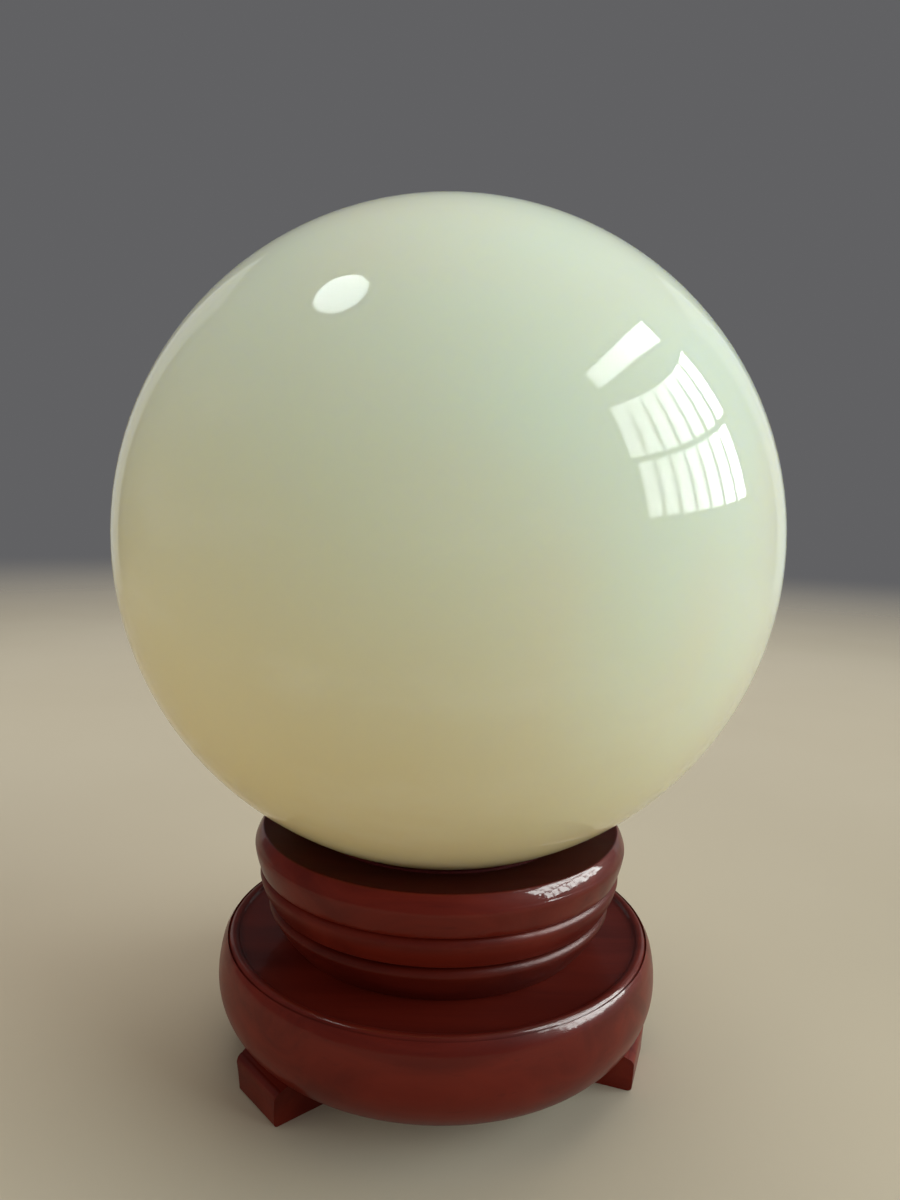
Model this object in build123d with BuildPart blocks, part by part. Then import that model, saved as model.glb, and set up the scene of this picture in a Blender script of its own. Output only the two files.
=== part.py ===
from build123d import *
from math import asin, cos, degrees, radians, sin, sqrt
import os

# Polished display sphere on a turned wooden stand whose cup swivels on a small
# two-plate ball bearing. Millimetres, +Z up. The origin is on the turning axis
# at the level of the surface that the three feet stand on; -Y is the front.

# ---- driving dimensions ------------------------------------------------------
ball_radius = 75.0
ball_centre_z = 123.0

# levels above the surface the feet stand on
underside_z = 8.8        # flat bottom of the base drum
belly_z = 19.6           # widest level of the drum
dish_z = 28.3            # dish floor where the plinth ring stands
lip_z = 29.15            # top of the dish's lip
spigot_z = 30.2          # raised centre of the drum, inside the plinth ring
plinth_top_z = 37.7
cup_bottom_z = 38.2      # half a millimetre above the plinth: the cup turns here
seam_z = 45.4            # glue line between cup disc and cup ring
rim_z = 54.9             # highest edge of the cup

# radii
belly_radius = 53.0
belly_lower_curve = 14.4
belly_upper_curve = 25.0
shoulder_z = 25.6        # where the belly turns into the rounded shoulder
groove_radius = 50.7     # turned groove between the shoulder and the lip
lip_radius = 48.4        # inner edge of the lip
spigot_radius = 33.8
plinth_bore = 34.0
plinth_foot_radius = 36.1
cup_widest_radius = 44.6
cup_widest_z = 50.8
seat_bore = 25.0

# felt-lined seat: a cone tangent to the ball at the contact radius
seat_contact_radius = 27.9
felt_thickness = 1.2
felt_half_width = 2.6
felt_gap = 0.15          # the felt's nap, between its backing and the ball
seat_wall_radius = 31.0
seat_edge_z = 53.9

# feet
foot_count = 3
foot_names = ("foot_right", "foot_back", "foot_front_left")
first_foot_angle = -19.3
foot_inner_radius = 32.0
foot_toe_radius = 50.5   # of the flat front face, just above the floor
foot_brow_radius = 50.8  # where the front face rolls over to meet the drum
foot_brow_z = 6.3
foot_top_z = 9.8
foot_half_width = 7.6    # at the floor
foot_flare_width = 9.0   # at the top

# turntable bearing: two pressed square plates, balls in a cage, tubular rivet
plate_side = 50.0
plate_corner = 6.0
plate_sheet = 1.0
bearing_height = 8.0
screw_offset = 20.5      # plate holes, from the axis along each side
track_radius = 15.0
race_ball_radius = 2.0
race_ball_count = 14
race_clearance = 0.03
rivet_radius = 6.0
rivet_bore = 4.9
rivet_flange_radius = 8.6

# screws
plate_screw_radius = 1.3
plate_screw_length = 10.0
plate_screw_head = 2.5
plate_screw_head_height = 1.4
access_hole_radius = 3.8
access_hole_angle = 180.0
foot_screw_radius = 1.6
foot_screw_head = 3.1
foot_screw_circle = 41.0
foot_screw_bottom_z = 2.6
foot_screw_tip_z = 19.0
thread_fit = 0.02

screw_circle = screw_offset * sqrt(2)
race_z = spigot_z + bearing_height / 2


def arc_radius(z, widest_radius, widest_z, curve):
    """Radius at height z on a bulge of the given curve radius."""
    return widest_radius - curve + sqrt(curve**2 - (z - widest_z) ** 2)


# ---- ball --------------------------------------------------------------------
with BuildPart() as ball:
    with Locations((0, 0, ball_centre_z)):
        Sphere(ball_radius)
ball.part.label = "ball"

# ---- felt ring in the seat ---------------------------------------------------
seat_angle = asin(seat_contact_radius / ball_radius)
seat_contact_z = ball_centre_z - ball_radius * cos(seat_angle)


def seat_point(along, depth):
    """Point of the seat's section: along the cone, and depth below the ball."""
    reach = seat_contact_radius + along * cos(seat_angle) + depth * sin(seat_angle)
    level = seat_contact_z + along * sin(seat_angle) - depth * cos(seat_angle)
    return (reach, level)


felt_back = felt_gap + felt_thickness
with BuildPart() as seat_felt:
    with BuildSketch(Plane.XZ):
        with BuildLine():
            Polyline(
                seat_point(-felt_half_width, felt_gap),
                seat_point(felt_half_width, felt_gap),
                seat_point(felt_half_width, felt_back),
                seat_point(-felt_half_width, felt_back),
                close=True,
            )
        make_face()
    revolve(axis=Axis.Z)
seat_felt.part.label = "seat_felt"

# ---- cup ring: the bulging upper band that holds the ball ----------------------
seat_slope = sin(seat_angle) / cos(seat_angle)
felt_floor = seat_point(0, felt_back)
seat_floor_in = felt_floor[1] + (seat_bore - felt_floor[0]) * seat_slope
seat_floor_out = felt_floor[1] + (seat_wall_radius - felt_floor[0]) * seat_slope
rim_roll = (42.2, rim_z)
rim_edge = (42.95, rim_z - 0.3)
knee = (44.35, 52.0)
ring_foot = (43.45, seam_z + 0.8)
with BuildPart() as cup_ring:
    with BuildSketch(Plane.XZ):
        with BuildLine():
            Polyline(
                (42.3, seam_z),
                (seat_bore, seam_z),
                (seat_bore, seat_floor_in),
                (seat_wall_radius, seat_floor_out),
                (seat_wall_radius, seat_edge_z),
                rim_roll,
            )
            ThreePointArc(rim_roll, (42.65, rim_z - 0.07), rim_edge)
            # the broad, nearly straight slope below the rim, then the soft knee
            ThreePointArc(rim_edge, (43.78, 53.36), knee)
            ThreePointArc(knee, (44.55, 51.4), (cup_widest_radius, cup_widest_z))
            ThreePointArc((cup_widest_radius, cup_widest_z), (44.2, 48.6), ring_foot)
            ThreePointArc(ring_foot, (43.1, seam_z + 0.25), (42.3, seam_z))
        make_face()
    revolve(axis=Axis.Z)
cup_ring.part.label = "cup_ring"

# ---- cup disc: the second band, closed below, carries the bearing ---------------
with BuildPart() as cup_disc:
    with BuildSketch(Plane.XZ):
        with BuildLine():
            Polyline((42.0, seam_z), (0, seam_z), (0, cup_bottom_z), (40.4, cup_bottom_z))
            ThreePointArc(
                (40.4, cup_bottom_z), (41.1, cup_bottom_z + 0.2), (41.5, cup_bottom_z + 0.8)
            )
            ThreePointArc((41.5, cup_bottom_z + 0.8), (42.75, 41.3), (43.4, 43.5))
            ThreePointArc((43.4, 43.5), (43.0, 44.75), (42.0, seam_z))
        make_face()
    revolve(axis=Axis.Z)
    with BuildSketch(Plane.XY.offset(cup_bottom_z)):
        with PolarLocations(screw_circle, 4):
            Circle(plate_screw_radius + thread_fit)
    extrude(amount=plate_screw_length - plate_sheet + 0.3 - 4.0, mode=Mode.SUBTRACT)
cup_disc.part.label = "cup_disc"

# ---- plinth ring: the fixed third band around the bearing ------------------------
with BuildPart() as plinth_ring:
    with BuildSketch(Plane.XZ):
        with BuildLine():
            Polyline(
                (39.6, plinth_top_z),
                (plinth_bore, plinth_top_z),
                (plinth_bore, dish_z),
                (plinth_foot_radius, dish_z),
            )
            # a slightly bulging cone, a rounded shoulder above it
            ThreePointArc((plinth_foot_radius, dish_z), (39.2, 32.3), (41.3, 35.9))
            ThreePointArc((41.3, 35.9), (40.95, 37.05), (39.6, plinth_top_z))
        make_face()
    revolve(axis=Axis.Z)
plinth_ring.part.label = "plinth_ring"

# ---- base drum --------------------------------------------------------------------
drum_edge_radius = arc_radius(underside_z, belly_radius, belly_z, belly_lower_curve)
drum_low_radius = arc_radius(13.7, belly_radius, belly_z, belly_lower_curve)
shoulder_radius = arc_radius(shoulder_z, belly_radius, belly_z, belly_upper_curve)
upper_mid_radius = arc_radius(22.6, belly_radius, belly_z, belly_upper_curve)
shoulder_top = (50.95, 28.6)
with BuildPart() as drum_blank:
    with BuildSketch(Plane.XZ):
        with BuildLine():
            Polyline(
                (plinth_foot_radius + 0.3, dish_z),
                (spigot_radius, dish_z),
                (spigot_radius, spigot_z),
                (0, spigot_z),
                (0, underside_z),
                (drum_edge_radius, underside_z),
            )
            ThreePointArc(
                (drum_edge_radius, underside_z), (drum_low_radius, 13.7), (belly_radius, belly_z)
            )
            ThreePointArc(
                (belly_radius, belly_z), (upper_mid_radius, 22.6), (shoulder_radius, shoulder_z)
            )
            ThreePointArc((shoulder_radius, shoulder_z), (51.78, 27.2), shoulder_top)
            # groove, then the rounded lip
            Polyline(shoulder_top, (groove_radius, 28.15), (50.5, 28.5))
            ThreePointArc((50.5, 28.5), (49.5, lip_z), (lip_radius, 28.7))
            # the dish: a short step down, then a shallow hollow
            ThreePointArc((lip_radius, 28.7), (48.15, 28.35), (47.8, 28.12))
            ThreePointArc((47.8, 28.12), (43.0, 27.85), (plinth_foot_radius + 0.3, dish_z))
        make_face()
    revolve(axis=Axis.Z)
    fillet(drum_blank.edges().group_by(Axis.Z)[0], radius=1.6)

with BuildPart() as base_drum:
    add(drum_blank.part)
    # screwdriver access to the cup's screws, straight through the drum
    with BuildSketch(Plane.XY.offset(underside_z)):
        with PolarLocations(screw_circle, 1, start_angle=access_hole_angle):
            Circle(access_hole_radius)
    extrude(amount=spigot_z - underside_z, mode=Mode.SUBTRACT)
    # pilot holes of the lower plate's screws
    with BuildSketch(Plane.XY.offset(spigot_z)):
        with PolarLocations(screw_circle, 4, start_angle=45):
            Circle(plate_screw_radius + thread_fit)
    extrude(amount=-plate_screw_length, mode=Mode.SUBTRACT)
    # pilot holes of the foot screws
    with BuildSketch(Plane.XY.offset(underside_z)):
        with PolarLocations(foot_screw_circle, foot_count, start_angle=first_foot_angle):
            Circle(foot_screw_radius + thread_fit)
    extrude(amount=foot_screw_tip_z - underside_z, mode=Mode.SUBTRACT)
base_drum.part.label = "base_drum"

# ---- feet: bracket feet, scribed to the underside of the drum ------------------------


def make_foot(angle):
    """Foot at the given angle: flared sides, a flat front that leans out to a rolled brow."""
    outward = (cos(radians(angle)), sin(radians(angle)), 0)
    sideways = (-sin(radians(angle)), cos(radians(angle)), 0)
    start = tuple(foot_inner_radius * value for value in outward)
    toe_round = (foot_toe_radius, 1.1)
    toe_bottom = (foot_toe_radius - 1.0, 0)
    brow = (foot_brow_radius, foot_brow_z)
    brow_top = (foot_brow_radius - 1.5, foot_brow_z + 2.1)
    under_drum = (foot_brow_radius - 4.0, foot_top_z)
    with BuildPart() as foot:
        with BuildSketch(Plane(origin=start, x_dir=sideways, z_dir=outward)):
            with BuildLine():
                Line((-foot_half_width, 0), (foot_half_width, 0))
                ThreePointArc((foot_half_width, 0), (7.95, 5.0), (foot_flare_width, foot_top_z))
                Line((foot_flare_width, foot_top_z), (-foot_flare_width, foot_top_z))
                ThreePointArc((-foot_flare_width, foot_top_z), (-7.95, 5.0), (-foot_half_width, 0))
            make_face()
        extrude(amount=foot_brow_radius - foot_inner_radius + 2)
        with BuildSketch(Plane.XZ.rotated((0, 0, angle))):
            with BuildLine():
                Polyline(
                    under_drum,
                    (foot_inner_radius - 1, foot_top_z),
                    (foot_inner_radius - 1, 0),
                    toe_bottom,
                )
                ThreePointArc(toe_bottom, (foot_toe_radius - 0.28, 0.33), toe_round)
                Line(toe_round, brow)
                ThreePointArc(brow, (foot_brow_radius - 0.38, foot_brow_z + 1.45), brow_top)
                Line(brow_top, under_drum)
            make_face()
        extrude(amount=foot_flare_width + 1, both=True, mode=Mode.INTERSECT)
        add(drum_blank.part, mode=Mode.SUBTRACT)
        with Locations(tuple(foot_screw_circle * value for value in outward)):
            Cylinder(
                foot_screw_head + 0.3,
                foot_screw_bottom_z,
                align=(Align.CENTER, Align.CENTER, Align.MIN),
                mode=Mode.SUBTRACT,
            )
            Cylinder(
                foot_screw_radius + thread_fit,
                underside_z,
                align=(Align.CENTER, Align.CENTER, Align.MIN),
                mode=Mode.SUBTRACT,
            )
        with Locations((*(foot_screw_circle * value for value in outward[:2]), foot_screw_bottom_z)):
            Cone(
                foot_screw_head + thread_fit,
                foot_screw_radius + thread_fit,
                foot_screw_head - foot_screw_radius,
                align=(Align.CENTER, Align.CENTER, Align.MIN),
                mode=Mode.SUBTRACT,
            )
    return foot.part


# ---- bearing plates --------------------------------------------------------------------


def make_plate(mount_z, inward, turn):
    """Pressed plate with its mounting face at mount_z; inward is +1 up or -1 down."""

    def at(radius, depth):
        return (radius, mount_z + inward * depth)

    hole = rivet_radius + 0.1
    track_depth = bearing_height / 2
    groove = race_ball_radius + race_clearance
    ridge = 1.6
    ridge_in = ridge + plate_sheet
    groove_half = sqrt(groove**2 - (track_depth - ridge_in) ** 2)
    back_half = sqrt((groove + plate_sheet) ** 2 - (track_depth - ridge) ** 2)
    reach = plate_side
    with BuildPart() as plate:
        with BuildSketch(Plane.XZ):
            with BuildLine():
                Polyline(
                    at(track_radius - groove_half, ridge_in),
                    at(11.8, ridge_in),
                    at(11.0, 2.25),
                    at(hole, 2.25),
                    at(hole, 1.25),
                    at(11.2, 1.25),
                    at(12.0, ridge),
                    at(track_radius - back_half, ridge),
                )
                ThreePointArc(
                    at(track_radius - back_half, ridge),
                    at(track_radius, track_depth - groove - plate_sheet),
                    at(track_radius + back_half, ridge),
                )
                Polyline(
                    at(track_radius + back_half, ridge),
                    at(17.6, ridge),
                    at(19.2, 0),
                    at(reach, 0),
                    at(reach, plate_sheet),
                    at(19.6, plate_sheet),
                    at(18.0, ridge_in),
                    at(track_radius + groove_half, ridge_in),
                )
                ThreePointArc(
                    at(track_radius + groove_half, ridge_in),
                    at(track_radius, track_depth - groove),
                    at(track_radius - groove_half, ridge_in),
                )
            make_face()
        revolve(axis=Axis.Z)
        low_z = min(mount_z, mount_z + inward * bearing_height)
        with BuildSketch(Plane.XY.offset(low_z)):
            with Locations(Location((0, 0), turn)):
                RectangleRounded(plate_side, plate_side, plate_corner)
        extrude(amount=bearing_height, mode=Mode.INTERSECT)
        with BuildSketch(Plane.XY.offset(low_z)):
            with PolarLocations(screw_circle, 4, start_angle=45 + turn):
                Circle(plate_screw_radius + 0.4)
        extrude(amount=bearing_height, mode=Mode.SUBTRACT)
    return plate.part


bearing_lower_plate = make_plate(spigot_z, 1, 0)
bearing_lower_plate.label = "bearing_lower_plate"
bearing_upper_plate = make_plate(cup_bottom_z, -1, 45)
bearing_upper_plate.label = "bearing_upper_plate"

# ---- balls and cage of the bearing --------------------------------------------------------
with BuildPart() as bearing_balls:
    with Locations((0, 0, race_z)):
        with PolarLocations(track_radius, race_ball_count):
            Sphere(race_ball_radius)
bearing_balls.part.label = "bearing_balls"

cage_half_width = 2.8
cage_thickness = 1.2
with BuildPart() as bearing_cage:
    with BuildSketch(Plane.XY.offset(race_z - cage_thickness / 2)):
        Circle(track_radius + cage_half_width)
        Circle(track_radius - cage_half_width, mode=Mode.SUBTRACT)
        with PolarLocations(track_radius, race_ball_count):
            Circle(race_ball_radius + 0.06, mode=Mode.SUBTRACT)
    extrude(amount=cage_thickness)
bearing_cage.part.label = "bearing_cage"

# ---- tubular rivet that keeps the two plates together ---------------------------------------
with BuildPart() as bearing_rivet:
    with BuildSketch(Plane.XZ):
        with BuildLine():
            Polyline(
                (rivet_bore, spigot_z + 0.25),
                (rivet_flange_radius, spigot_z + 0.25),
                (rivet_flange_radius, spigot_z + 1.25),
                (rivet_radius, spigot_z + 1.25),
                (rivet_radius, cup_bottom_z - 1.15),
                (rivet_flange_radius, cup_bottom_z - 1.15),
                (rivet_flange_radius, cup_bottom_z - 0.25),
                (rivet_bore, cup_bottom_z - 0.25),
                close=True,
            )
        make_face()
    revolve(axis=Axis.Z)
bearing_rivet.part.label = "bearing_rivet"

# ---- screws -----------------------------------------------------------------------------------


def make_plate_screw(length):
    """Pan-head wood screw, head up, its head's seat at z = 0."""
    with BuildPart() as screw:
        with BuildSketch(Plane.XZ):
            with BuildLine():
                Polyline(
                    (0, plate_screw_head_height),
                    (0, -length),
                    (plate_screw_radius, -length + 2.5),
                    (plate_screw_radius, 0),
                    (plate_screw_head, 0),
                    (plate_screw_head, 0.5),
                )
                ThreePointArc(
                    (plate_screw_head, 0.5), (1.9, 1.15), (0, plate_screw_head_height)
                )
            make_face()
        revolve(axis=Axis.Z)
        with Locations((0, 0, plate_screw_head_height)):
            Box(2.6, 0.6, 1.2, mode=Mode.SUBTRACT)
            Box(0.6, 2.6, 1.2, mode=Mode.SUBTRACT)
    return screw.part


lower_screw = make_plate_screw(plate_screw_length)
with BuildPart() as lower_plate_screws:
    with Locations((0, 0, spigot_z + plate_sheet)):
        with PolarLocations(screw_circle, 4, start_angle=45):
            add(lower_screw)
lower_plate_screws.part.label = "lower_plate_screws"

upper_screw = make_plate_screw(plate_screw_length - 4.0)
with BuildPart() as upper_plate_screws:
    with Locations(Location((0, 0, cup_bottom_z - plate_sheet), (180, 0, 0))):
        with PolarLocations(screw_circle, 4):
            add(upper_screw)
upper_plate_screws.part.label = "upper_plate_screws"

with BuildPart() as foot_screw:
    with BuildSketch(Plane.XZ):
        with BuildLine():
            Polyline(
                (0, foot_screw_bottom_z),
                (foot_screw_head, foot_screw_bottom_z),
                (foot_screw_radius, foot_screw_bottom_z + foot_screw_head - foot_screw_radius),
                (foot_screw_radius, foot_screw_tip_z - 3.5),
                (0, foot_screw_tip_z - 0.2),
                close=True,
            )
        make_face()
    revolve(axis=Axis.Z)
    with Locations((0, 0, foot_screw_bottom_z)):
        Box(3.6, 0.8, 2.0, mode=Mode.SUBTRACT)
        Box(0.8, 3.6, 2.0, mode=Mode.SUBTRACT)

with BuildPart() as foot_screws:
    with PolarLocations(foot_screw_circle, foot_count, start_angle=first_foot_angle):
        add(foot_screw.part)
foot_screws.part.label = "foot_screws"

# ---- write one STEP per piece --------------------------------------------------------------------
os.makedirs("parts", exist_ok=True)
export_step(ball.part, "parts/ball.step")
export_step(seat_felt.part, "parts/seat_felt.step")
export_step(cup_ring.part, "parts/cup_ring.step")
export_step(cup_disc.part, "parts/cup_disc.step")
export_step(plinth_ring.part, "parts/plinth_ring.step")
export_step(base_drum.part, "parts/base_drum.step")
for number, name in enumerate(foot_names):
    foot = make_foot(first_foot_angle + number * 360 / foot_count)
    foot.label = name
    export_step(foot, f"parts/{name}.step")
export_step(foot_screws.part, "parts/foot_screws.step")
export_step(bearing_lower_plate, "parts/bearing_lower_plate.step")
export_step(bearing_upper_plate, "parts/bearing_upper_plate.step")
export_step(bearing_balls.part, "parts/bearing_balls.step")
export_step(bearing_cage.part, "parts/bearing_cage.step")
export_step(bearing_rivet.part, "parts/bearing_rivet.step")
export_step(lower_plate_screws.part, "parts/lower_plate_screws.step")
export_step(upper_plate_screws.part, "parts/upper_plate_screws.step")
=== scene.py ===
"""Looks for the display sphere on its swivel stand: materials, light, floor and camera."""

import math

import bmesh
import bpy
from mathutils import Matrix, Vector, noise


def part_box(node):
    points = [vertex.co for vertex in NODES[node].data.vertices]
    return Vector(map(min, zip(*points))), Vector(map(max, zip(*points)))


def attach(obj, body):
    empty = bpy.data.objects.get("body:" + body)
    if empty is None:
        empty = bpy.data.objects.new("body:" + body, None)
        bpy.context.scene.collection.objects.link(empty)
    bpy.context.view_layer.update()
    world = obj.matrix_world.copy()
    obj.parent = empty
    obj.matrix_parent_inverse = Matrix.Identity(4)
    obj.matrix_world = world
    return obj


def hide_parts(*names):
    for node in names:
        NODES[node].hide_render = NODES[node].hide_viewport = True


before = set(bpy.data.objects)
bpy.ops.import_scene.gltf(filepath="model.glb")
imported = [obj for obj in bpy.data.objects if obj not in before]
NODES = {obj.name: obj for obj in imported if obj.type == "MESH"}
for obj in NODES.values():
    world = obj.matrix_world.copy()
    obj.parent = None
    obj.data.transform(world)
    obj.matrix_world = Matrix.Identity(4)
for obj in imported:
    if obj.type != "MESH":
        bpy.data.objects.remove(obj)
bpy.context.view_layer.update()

BALL_LOW, BALL_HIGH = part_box("ball")
BALL_CENTRE = (BALL_LOW + BALL_HIGH) / 2
MM = 0.001

TURN_STEPS = 320  # sides of a turned piece
SHARP_TURN = 0.85  # cosine below which two neighbouring bands meet in a sharp edge
SCREW_HEAD_RADIUS = 2.5 * MM
DRIVER_HOLE_RADIUS = 3.8 * MM
WORN_EDGE = 0.45 * MM

FLOOR_SIZE = 12.0
FLOOR_FADE = (0.30, 1.50)  # from solid to clear, in metres from the axis
LIGHTING_DISTANCE = 6.0  # of the panels that only light
MIRRORED_DISTANCE = 2.0  # of the panels that only show in the polish


# ---- shader helpers ----------------------------------------------------------


class Shader:
    """A node material with a Principled BSDF, and short calls to add nodes to it."""

    def __init__(self, name):
        self.material = bpy.data.materials.new(name)
        self.material.use_nodes = True
        self.tree = self.material.node_tree
        self.principled = self.tree.nodes["Principled BSDF"]
        self.place = self.node("ShaderNodeTexCoord").outputs["Object"]

    def node(self, kind, **settings):
        made = self.tree.nodes.new(kind)
        for key, value in settings.items():
            setattr(made, key, value)
        return made

    def feed(self, socket, value):
        if isinstance(value, bpy.types.NodeSocket):
            self.tree.links.new(value, socket)
        else:
            socket.default_value = value

    def set(self, **values):
        """Values for the Principled BSDF's sockets, underscores standing for spaces."""
        for key, value in values.items():
            self.feed(self.principled.inputs[key.replace("_", " ")], value)

    def times(self, value, factor):
        made = self.node("ShaderNodeMath", operation="MULTIPLY")
        self.feed(made.inputs[0], value)
        self.feed(made.inputs[1], factor)
        return made.outputs[0]

    def mapped(self, scale=(1, 1, 1), shift=(0, 0, 0), turn=(0, 0, 0)):
        """Object coordinates, scaled, shifted and turned, for noise to be drawn out or moved."""
        made = self.node("ShaderNodeMapping")
        self.feed(made.inputs["Vector"], self.place)
        made.inputs["Scale"].default_value = scale
        made.inputs["Location"].default_value = shift
        made.inputs["Rotation"].default_value = turn
        return made.outputs[0]

    def noise(self, scale, detail=3.0, rough=0.5, vector=None, distortion=0.0):
        made = self.node("ShaderNodeTexNoise")
        self.feed(made.inputs["Vector"], vector or self.place)
        made.inputs["Scale"].default_value = scale
        made.inputs["Detail"].default_value = detail
        made.inputs["Roughness"].default_value = rough
        made.inputs["Distortion"].default_value = distortion
        return made.outputs["Fac"]

    def ramp(self, value, low, high, to_low=0.0, to_high=1.0):
        """Smooth step from to_low to to_high as value goes from low to high."""
        made = self.node("ShaderNodeMapRange", interpolation_type="SMOOTHSTEP")
        for key, number in (("From Min", low), ("From Max", high), ("To Min", to_low), ("To Max", to_high)):
            made.inputs[key].default_value = number
        self.feed(made.inputs["Value"], value)
        return made.outputs["Result"]

    def mix(self, factor, a, b):
        made = self.node("ShaderNodeMix", data_type="RGBA")
        self.feed(made.inputs[0], factor)
        self.feed(made.inputs[6], a if isinstance(a, bpy.types.NodeSocket) else (*a, 1))
        self.feed(made.inputs[7], b if isinstance(b, bpy.types.NodeSocket) else (*b, 1))
        return made.outputs[2]

    def z_of(self, vector):
        made = self.node("ShaderNodeSeparateXYZ")
        self.feed(made.inputs[0], vector)
        return made.outputs["Z"]

    def bump(self, height, distance, below=None):
        """Normal of a surface raised by height times distance, over the bump below it."""
        made = self.node("ShaderNodeBump")
        made.inputs["Distance"].default_value = distance
        self.feed(made.inputs["Height"], height)
        if below is not None:
            self.feed(made.inputs["Normal"], below)
        return made.outputs["Normal"]


def wear(material, *names):
    """Gives the named CAD nodes this material."""
    for name in names:
        slots = NODES[name].data.materials
        slots.clear()
        slots.append(material)


# ---- turned pieces: finely divided, with even normals round the axis -----------


def arc(start, middle, end, count=14):
    """Points after start on the circle through three points."""
    (ax, ay), (bx, by), (cx, cy) = start, middle, end
    d = 2 * (ax * (by - cy) + bx * (cy - ay) + cx * (ay - by))
    ux = ((ax**2 + ay**2) * (by - cy) + (bx**2 + by**2) * (cy - ay) + (cx**2 + cy**2) * (ay - by)) / d
    uy = ((ax**2 + ay**2) * (cx - bx) + (bx**2 + by**2) * (ax - cx) + (cx**2 + cy**2) * (bx - ax)) / d
    radius = math.hypot(ax - ux, ay - uy)
    first = math.atan2(ay - uy, ax - ux)
    sweep = math.atan2(cy - uy, cx - ux) - first
    side = (bx - ax) * (cy - ay) - (by - ay) * (cx - ax)
    while side > 0 and sweep < 0:
        sweep += 2 * math.pi
    while side < 0 and sweep > 0:
        sweep -= 2 * math.pi
    angles = [first + sweep * step / count for step in range(1, count + 1)]
    return [(ux + radius * math.cos(a), uy + radius * math.sin(a)) for a in angles]


def section(start, *moves):
    """Section in (radius, level) points: a pair is a line's end, two pairs an arc's middle and end."""
    points = [start]
    for move in moves:
        if isinstance(move[0], tuple):
            points += arc(points[-1], *move)
        else:
            points.append(move)
    return points


def turned(node, points, body, material, steps=TURN_STEPS):
    """Revolves the section round the axis and lets it stand for the CAD node.

    Section points are in millimetres: out from the node's widest radius, up from its underside.
    """
    low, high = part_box(node)
    widest = high.x
    verts, rings = [], []
    for radius, level in points:
        r = widest + radius * MM
        z = low.z + level * MM
        if r < 1e-6:
            rings.append([len(verts)])
            verts.append((0, 0, z))
            continue
        rings.append(range(len(verts), len(verts) + steps))
        for step in range(steps):
            a = 2 * math.pi * step / steps
            verts.append((r * math.cos(a), r * math.sin(a), z))
    faces, hard = [], set()
    for index, ring in enumerate(rings):
        other = rings[(index + 1) % len(rings)]
        before, here, after = points[index - 1], points[index], points[(index + 1) % len(points)]
        turn = math.atan2(here[1] - before[1], here[0] - before[0])
        turn -= math.atan2(after[1] - here[1], after[0] - here[0])
        if len(ring) > 1 and math.cos(turn) < SHARP_TURN:
            hard.update((min(pair), max(pair)) for pair in zip(ring, [*ring[1:], ring[0]]))
        for step in range(steps):
            a, b = ring[step % len(ring)], ring[(step + 1) % len(ring)]
            c, d = other[(step + 1) % len(other)], other[step % len(other)]
            corners = list(dict.fromkeys((a, b, c, d)))
            if len(corners) > 2:
                faces.append(corners)
    mesh = bpy.data.meshes.new(node + "_turned")
    mesh.from_pydata(verts, [], faces)
    mesh.update()
    tidy = bmesh.new()
    tidy.from_mesh(mesh)
    bmesh.ops.recalc_face_normals(tidy, faces=tidy.faces)
    tidy.to_mesh(mesh)
    tidy.free()
    mesh.polygons.foreach_set("use_smooth", [True] * len(mesh.polygons))
    for edge in mesh.edges:
        if (min(edge.vertices), max(edge.vertices)) in hard:
            edge.use_edge_sharp = True
    mesh.materials.append(material)
    made = bpy.data.objects.new(node + "_turned", mesh)
    bpy.context.scene.collection.objects.link(made)
    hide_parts(node)
    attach(made, body)
    return made


def nap(piece, size, depth):
    """Raises and lowers the side that faces up, as matted fibres of that size would."""
    outward = [vertex.normal.copy() for vertex in piece.data.vertices]
    for vertex, way in zip(piece.data.vertices, outward):
        if way.z > 0.3:
            vertex.co += way * depth * noise.noise(vertex.co / size)


# ---- ball: milky, polished, pale yellow-green ---------------------------------


def polished_ball():
    """Pale green to cream stone with faint clouds and wisps; the khaki low down and to the left is painted
    light, a warm glow from below on the side away from the window.
    """
    shader = Shader("polished_ball")
    cloud = shader.noise(9.0, 3.0, 0.45, distortion=0.6)
    wisps = shader.noise(26.0, 4.0, 0.55, shader.mapped((1.0, 1.0, 2.2), turn=(0.5, 0.3, 0.0)))
    pale_green = (0.72, 0.785, 0.66)
    cream = (0.77, 0.74, 0.59)
    painted_bounce_khaki = (0.74, 0.57, 0.25)
    body = shader.mix(shader.ramp(cloud, 0.38, 0.66), pale_green, cream)
    # painted light: the stone turns khaki towards the bottom and the left, like warm light thrown up from
    # below on the side away from the window
    leaning = shader.z_of(shader.mapped(turn=(0.0, math.radians(-24.0), 0.0)))
    low = shader.ramp(leaning, 0.142, 0.040)
    body = shader.mix(shader.times(low, 0.82), body, painted_bounce_khaki)
    body = shader.mix(shader.ramp(wisps, 0.50, 0.78, 0.0, 0.16), body, (0.84, 0.85, 0.74))
    smudge = shader.noise(38.0, 5.0, 0.6, distortion=1.2)
    shader.set(
        Base_Color=body,
        Roughness=shader.ramp(smudge, 0.45, 0.75, 0.015, 0.04),
        Subsurface_Weight=1.0,
        Subsurface_Radius=(1.0, 0.95, 0.65),
        Subsurface_Scale=0.03,
        IOR=1.28,
        Specular_IOR_Level=0.2,
    )
    shader.set(Normal=shader.bump(shader.noise(22.0, 1.0, 0.4), 0.02 * MM))
    return shader.material


# ---- stand: red-brown lacquer over turned wood ---------------------------------


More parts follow.
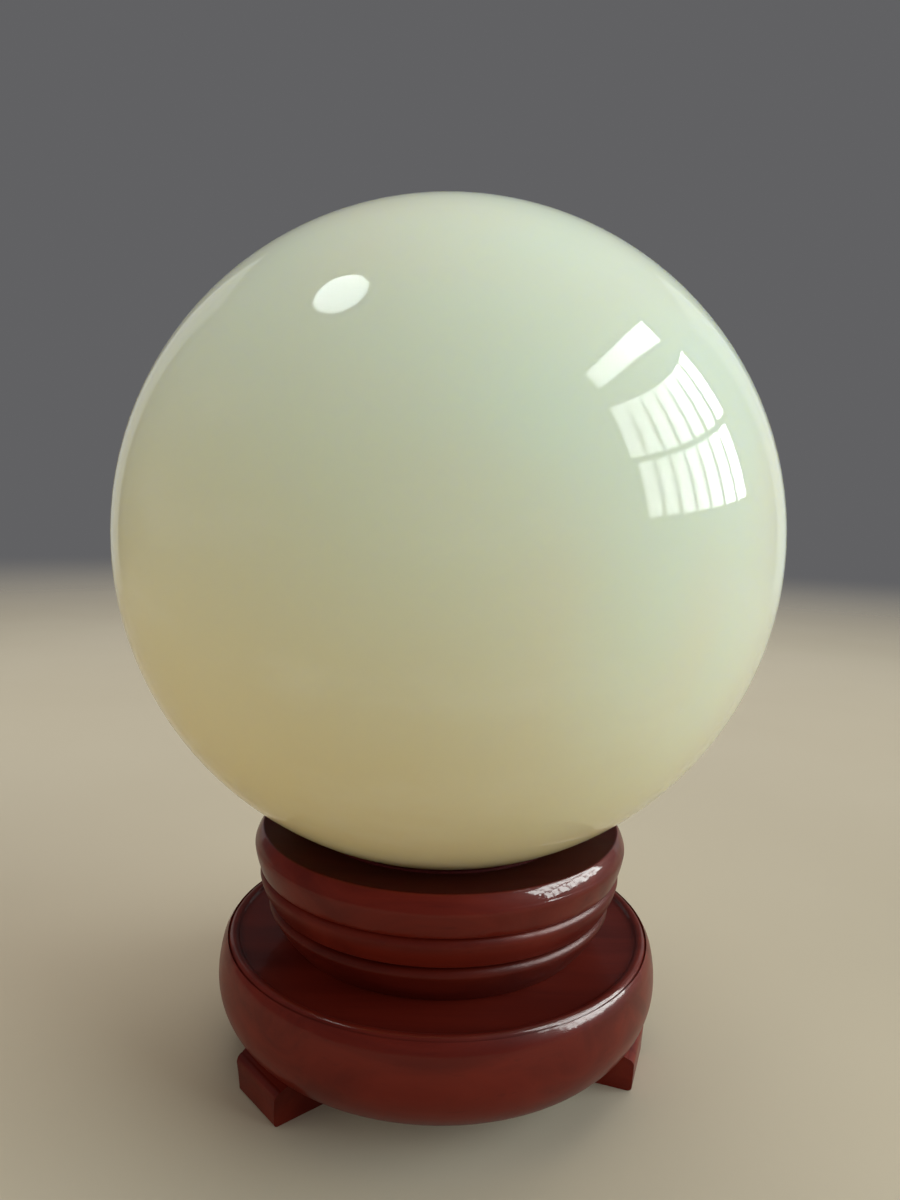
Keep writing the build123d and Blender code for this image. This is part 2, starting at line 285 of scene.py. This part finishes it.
def lacquered_wood(name, shift, turn, depth=1.0, gloss=0.07, coat=0.33, painted_top_shade=0.0):
    """Lacquer over stained wood; the grain's place and direction differ from piece to piece.

    depth scales the colour piece by piece, and on the right foot and the plinth it paints light and shade;
    gloss is the coat's roughness, coat its weight, and the last argument says how far faces that look up
    are darkened as painted shade of the ball above them, with their coat dulled.
    """
    shader = Shader(name)
    along = shader.mapped((9.0, 110.0, 110.0), shift, (0.0, 0.0, turn))
    grain = shader.noise(1.0, 5.0, 0.55, along, distortion=0.7)
    pores = shader.noise(1.0, 2.0, 0.5, shader.mapped((60.0, 1400.0, 900.0), shift, (0.0, 0.0, turn)))
    blotch = shader.noise(24.0, 3.0, 0.5, shader.mapped(shift=shift))
    deep = tuple(depth * value for value in (0.082, 0.0062, 0.0032))
    warm = tuple(depth * value for value in (0.132, 0.0118, 0.0056))
    colour = shader.mix(shader.ramp(grain, 0.30, 0.70), deep, warm)
    colour = shader.mix(shader.ramp(pores, 0.62, 0.76, 0.0, 0.22), colour, (0.040, 0.004, 0.003))
    colour = shader.mix(shader.ramp(blotch, 0.45, 0.75, 0.0, 0.35), colour, (0.160, 0.0155, 0.0075))
    # painted shade: faces that look up, the seat under the ball, are darkened as if in the ball's shadow,
    # and their coat is dulled
    if painted_top_shade:
        upward = shader.z_of(shader.node("ShaderNodeNewGeometry").outputs["True Normal"])
        painted_top_shade_mask = shader.ramp(upward, 0.80, 0.97, 0.0, painted_top_shade)
        colour = shader.mix(painted_top_shade_mask, colour, (0.022, 0.0014, 0.0012))
        coat = shader.ramp(upward, 0.80, 0.97, coat, 0.25 * coat)
    orange_peel = shader.noise(420.0, 2.0, 0.5)
    sags = shader.noise(70.0, 2.0, 0.5, shader.mapped((1.0, 1.0, 0.5), shift))
    coat_normal = shader.bump(sags, 0.6 * MM, below=shader.bump(orange_peel, 0.06 * MM))
    shader.set(
        Base_Color=colour,
        Roughness=shader.ramp(blotch, 0.3, 0.7, 0.42, 0.55),
        Specular_IOR_Level=0.05,
        Coat_Weight=coat,
        Coat_Roughness=gloss,
        Coat_IOR=1.47,
        Normal=shader.bump(grain, 0.06 * MM),
        Coat_Normal=coat_normal,
    )
    return shader.material


def dark_felt():
    """Matted fibres in clumps, with a little dark red sheen."""
    shader = Shader("dark_felt")
    fibres = shader.noise(1800.0, 4.0, 0.7, distortion=2.0)
    clumps = shader.noise(260.0, 3.0, 0.6)
    colour = shader.mix(shader.ramp(fibres, 0.3, 0.7), (0.030, 0.004, 0.005), (0.105, 0.014, 0.016))
    colour = shader.mix(shader.ramp(clumps, 0.5, 0.8, 0.0, 0.5), colour, (0.02, 0.003, 0.004))
    shader.set(Base_Color=colour, Roughness=0.95, Specular_IOR_Level=0.1)
    shader.set(Sheen_Weight=0.25, Sheen_Roughness=0.5, Sheen_Tint=(0.45, 0.08, 0.08, 1.0))
    shader.set(Normal=shader.bump(fibres, 0.3 * MM, below=shader.bump(clumps, 0.3 * MM)))
    return shader.material


def metal(name, dark, light, rough_low, rough_high, scale=120.0):
    """Plated or polished metal in patches from dark to light, with fine scratches one way."""
    shader = Shader(name)
    patches = shader.noise(scale, 4.0, 0.6, distortion=0.5)
    scratches = shader.noise(1.0, 2.0, 0.5, shader.mapped((300.0, 3000.0, 3000.0), turn=(0.0, 0.0, 0.4)))
    colour = shader.mix(shader.ramp(patches, 0.35, 0.7), dark, light)
    shader.set(
        Base_Color=colour,
        Metallic=1.0,
        Roughness=shader.ramp(patches, 0.3, 0.7, rough_low, rough_high),
        Normal=shader.bump(scratches, 0.03 * MM),
    )
    return shader.material


def nylon():
    """Undyed nylon, slightly cloudy."""
    shader = Shader("natural_nylon")
    cloud = shader.noise(180.0, 3.0, 0.5)
    colour = shader.mix(shader.ramp(cloud, 0.3, 0.7), (0.70, 0.67, 0.58), (0.80, 0.78, 0.70))
    shader.set(
        Base_Color=colour,
        Roughness=shader.ramp(cloud, 0.3, 0.7, 0.42, 0.55),
        Subsurface_Weight=0.3,
        Subsurface_Scale=0.001,
        Normal=shader.bump(shader.noise(1500.0, 2.0), 0.03 * MM),
    )
    return shader.material


wear(polished_ball(), "ball")
turned(
    "cup_ring",
    section(
        (-2.3, 0.0), (-19.6, 0.0), (-19.6, 5.37), (-13.6, 7.77), (-13.6, 8.5), (-2.4, 9.5),
        ((-1.95, 9.43), (-1.65, 9.2)),
        ((-0.82, 7.96), (-0.25, 6.6)),
        ((-0.05, 6.0), (0.0, 5.4)),
        ((-0.4, 3.2), (-1.15, 0.8)),
        ((-1.5, 0.25), (-2.3, 0.0)),
    )[:-1],
    "cup",
    # the seat's top face under the ball gets painted shade
    lacquered_wood("lacquer_cup_ring", (0.3, 0.1, 0.0), 0.2, coat=0.38, painted_top_shade=0.72),
)
turned(
    "cup_disc",
    section(
        (-1.4, 7.2), (-43.4, 7.2), (-43.4, 0.0), (-3.0, 0.0),
        ((-2.3, 0.2), (-1.9, 0.8)),
        ((-0.65, 3.1), (0.0, 5.3)),
        ((-0.4, 6.55), (-1.4, 7.2)),
    )[:-1],
    "cup",
    lacquered_wood("lacquer_cup_disc", (1.7, 0.6, 0.0), 1.1, 0.9, gloss=0.26, coat=0.20),
)
turned(
    "plinth_ring",
    section(
        (-1.7, 9.4), (-7.3, 9.4), (-7.3, 0.0), (-5.2, 0.0),
        ((-2.1, 4.0), (0.0, 7.6)),
        ((-0.35, 8.75), (-1.7, 9.4)),
    )[:-1],
    "base",
    # painted shade: the plinth's darker colour, 0.68, stands in for the shade on its inward-leaning band
    lacquered_wood("lacquer_plinth_painted_shade", (2.9, 1.3, 0.0), 2.0, 0.68, gloss=0.28, coat=0.18),
)
drum = turned(
    "base_drum",
    section(
        (-16.6, 19.5), (-19.2, 19.5), (-19.2, 21.4), (-53.0, 21.4), (-53.0, 0.0), (-5.48, 0.0),
        ((-4.91, 0.1), (-4.42, 0.4)),
        ((-1.26, 4.9), (0.0, 10.8)),
        ((-0.18, 13.8), (-0.73, 16.8)),
        ((-1.22, 18.4), (-2.05, 19.8)),
        (-2.3, 19.35), (-2.5, 19.7),
        ((-3.5, 20.35), (-4.6, 19.9)),
        ((-4.85, 19.55), (-5.2, 19.32)),
        ((-10.0, 19.05), (-16.6, 19.5)),
    )[:-1],
    "base",
    lacquered_wood("lacquer_drum", (4.1, 2.2, 0.0), 0.05, 1.08, gloss=0.12, coat=0.38),
)
# the screwdriver's way to the cup's screws, as far out as those screws are
screws_low, screws_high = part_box("upper_plate_screws")
bpy.ops.mesh.primitive_cylinder_add(
    vertices=64,
    radius=DRIVER_HOLE_RADIUS,
    depth=80 * MM,
    location=(screws_low.x + SCREW_HEAD_RADIUS, 0, 20 * MM),
)
driver_hole = bpy.context.object
cut = drum.modifiers.new("access_hole", "BOOLEAN")
cut.object = driver_hole
cut.solver = "EXACT"
bpy.context.view_layer.update()
drilled = bpy.data.meshes.new_from_object(drum.evaluated_get(bpy.context.evaluated_depsgraph_get()))
drum.modifiers.clear()
drum.data = drilled
bpy.data.objects.remove(driver_hole)
# painted light: the right foot's lighter colour, 1.3 against the other feet's 0.8, stands in for the window
# lighting it from the right
wear(lacquered_wood("lacquer_foot_right_painted_light", (5.2, 2.9, 0.0), 0.9, 1.3), "foot_right")
wear(lacquered_wood("lacquer_foot_back", (6.4, 3.1, 0.0), 1.7, 0.8), "foot_back")
wear(lacquered_wood("lacquer_foot_left", (7.3, 3.8, 0.0), 2.4, 0.8), "foot_front_left")
for foot in ("foot_right", "foot_back", "foot_front_left"):
    worn = NODES[foot].modifiers.new("worn_edges", "BEVEL")
    worn.width = WORN_EDGE
    worn.segments = 3
    worn.limit_method = "ANGLE"
    worn.angle_limit = math.radians(35)
felt_ring = turned(
    "seat_felt",
    section(
        (-4.827, 0.0), (-5.143, 0.789),
        ((-5.143, 1.058), (-4.948, 1.244)),
        ((-2.878, 2.127), (-0.771, 2.918)),
        ((-0.502, 2.918), (-0.316, 2.723)),
        (0.0, 1.934),
    ),
    "cup",
    dark_felt(),
    steps=720,
)
nap(felt_ring, 0.7 * MM, 0.08 * MM)
wear(
    metal("zinc_plate", (0.52, 0.54, 0.57), (0.70, 0.71, 0.72), 0.30, 0.45),
    "bearing_lower_plate", "bearing_upper_plate", "bearing_rivet",
)
wear(metal("bearing_steel", (0.60, 0.61, 0.63), (0.74, 0.75, 0.76), 0.08, 0.16), "bearing_balls")
wear(nylon(), "bearing_cage")
wear(
    metal("yellow_zinc", (0.46, 0.38, 0.20), (0.62, 0.56, 0.34), 0.25, 0.42, 300.0),
    "foot_screws", "lower_plate_screws", "upper_plate_screws",
)


# ---- floor ------------------------------------------------------------------------

bpy.ops.mesh.primitive_plane_add(size=FLOOR_SIZE, location=(0, 0, 0))
floor = bpy.context.object
floor.name = "floor"
floor_shader = Shader("pale_floor")
floor_mottle = floor_shader.noise(2.2, 4.0, 0.5)
floor_shader.set(
    Base_Color=floor_shader.mix(
        floor_shader.ramp(floor_mottle, 0.3, 0.7), (0.56, 0.47, 0.36), (0.61, 0.52, 0.41)
    ),
    Roughness=0.6,
    Specular_IOR_Level=0.0,
)
# the floor fades into the backdrop, so that no horizon shows in the polish
reach = floor_shader.node("ShaderNodeVectorMath", operation="LENGTH")
floor_shader.feed(reach.inputs[0], floor_shader.place)
blend = floor_shader.node("ShaderNodeMixShader")
clear = floor_shader.node("ShaderNodeBsdfTransparent")
floor_shader.feed(blend.inputs[0], floor_shader.ramp(reach.outputs["Value"], *FLOOR_FADE))
floor_shader.feed(blend.inputs[1], floor_shader.principled.outputs[0])
floor_shader.feed(blend.inputs[2], clear.outputs[0])
floor_shader.feed(floor_shader.tree.nodes["Material Output"].inputs["Surface"], blend.outputs[0])
floor.data.materials.append(floor_shader.material)


# ---- light --------------------------------------------------------------------------


def toward(azimuth, elevation, distance):
    """Point seen from the ball at this bearing, counted from the front towards +X."""
    a, e = math.radians(azimuth), math.radians(elevation)
    way = Vector((math.sin(a) * math.cos(e), -math.cos(a) * math.cos(e), math.sin(e)))
    return BALL_CENTRE + way * distance


def panel(name, azimuth, elevation, width, height, radiance, colour, part, shape="RECTANGLE"):
    """Area light of that angular size in degrees, facing the ball.

    part is "soft" for one that only lights, and "mirrored" for one that only shows in the polish.
    """
    distance = LIGHTING_DISTANCE if part == "soft" else MIRRORED_DISTANCE
    data = bpy.data.lights.new(name, "AREA")
    data.shape = shape
    data.size = 2 * distance * math.tan(math.radians(width / 2))
    data.size_y = 2 * distance * math.tan(math.radians(height / 2))
    area = data.size * data.size_y
    if shape == "ELLIPSE":
        area *= math.pi / 4
    data.energy = radiance * math.pi * area
    data.color = colour
    lamp = bpy.data.objects.new(name, data)
    lamp.location = toward(azimuth, elevation, distance)
    lamp.rotation_euler = (lamp.location - BALL_CENTRE).to_track_quat("Z", "Y").to_euler()
    lamp.visible_glossy = part == "mirrored"
    lamp.visible_diffuse = part == "soft"
    bpy.context.scene.collection.objects.link(lamp)
    return lamp


def slatted_window(name, azimuth, elevation, width, height, radiance, strips=7, gap=1.15):
    """Window behind upright slats: narrow mirrored-only panels side by side, with gaps between."""
    pitch = width / strips
    for index in range(strips):
        offset = (index - (strips - 1) / 2) * pitch / math.cos(math.radians(elevation))
        strip = f"{name}_{index + 1}"
        panel(strip, azimuth + offset, elevation, pitch - gap, height, radiance, daylight, part="mirrored")


daylight = (0.93, 1.0, 0.97)
slatted_window("window_low", 85.5, 15.5, 45, 14, 32.0)
slatted_window("window_high", 85.5, 31.0, 45, 14, 32.0)
panel("window_top", 83.0, 48.3, 33, 5.5, 34.0, daylight, part="mirrored")
panel("ceiling_lamp", -92.0, 64.6, 14.5, 12.7, 28.0, (0.90, 1.0, 1.0), shape="ELLIPSE", part="mirrored")
panel("window_glow", 78.0, 22.0, 46, 34, 4.95, (0.85, 1.0, 1.0), part="soft")
panel("fill_front", -8.0, 14.0, 60, 26, 1.18, (1.0, 0.96, 0.84), part="soft")
panel("fill_left", -72.0, 16.0, 36, 36, 1.45, (1.0, 0.97, 0.78), part="soft")
panel("fill_top", 165.0, 68.0, 50, 50, 2.2, (0.97, 1.0, 0.95), part="soft")
panel("rim_left", -142.0, 12.0, 16, 44, 0.45, daylight, part="mirrored")
panel("rim_right", 140.0, 12.0, 16, 44, 0.55, daylight, part="mirrored")

world = bpy.data.worlds.new("studio")
bpy.context.scene.world = world
world.use_nodes = True
world.node_tree.nodes["Background"].inputs["Color"].default_value = (0.12, 0.12, 0.125, 1.0)
world.node_tree.nodes["Background"].inputs["Strength"].default_value = 1.0


# ---- camera ---------------------------------------------------------------------------

camera_data = bpy.data.cameras.new("camera")
camera_data.sensor_width = 36.0
camera_data.lens = 27.0
camera = bpy.data.objects.new("camera", camera_data)
bpy.context.scene.collection.objects.link(camera)
camera.location = (-0.00005, -0.21305, 0.13545)
camera.rotation_euler = (math.radians(82.797), math.radians(-1.647), 0.0)
bpy.context.scene.camera = camera
bpy.context.scene.view_settings.view_transform = "Standard"
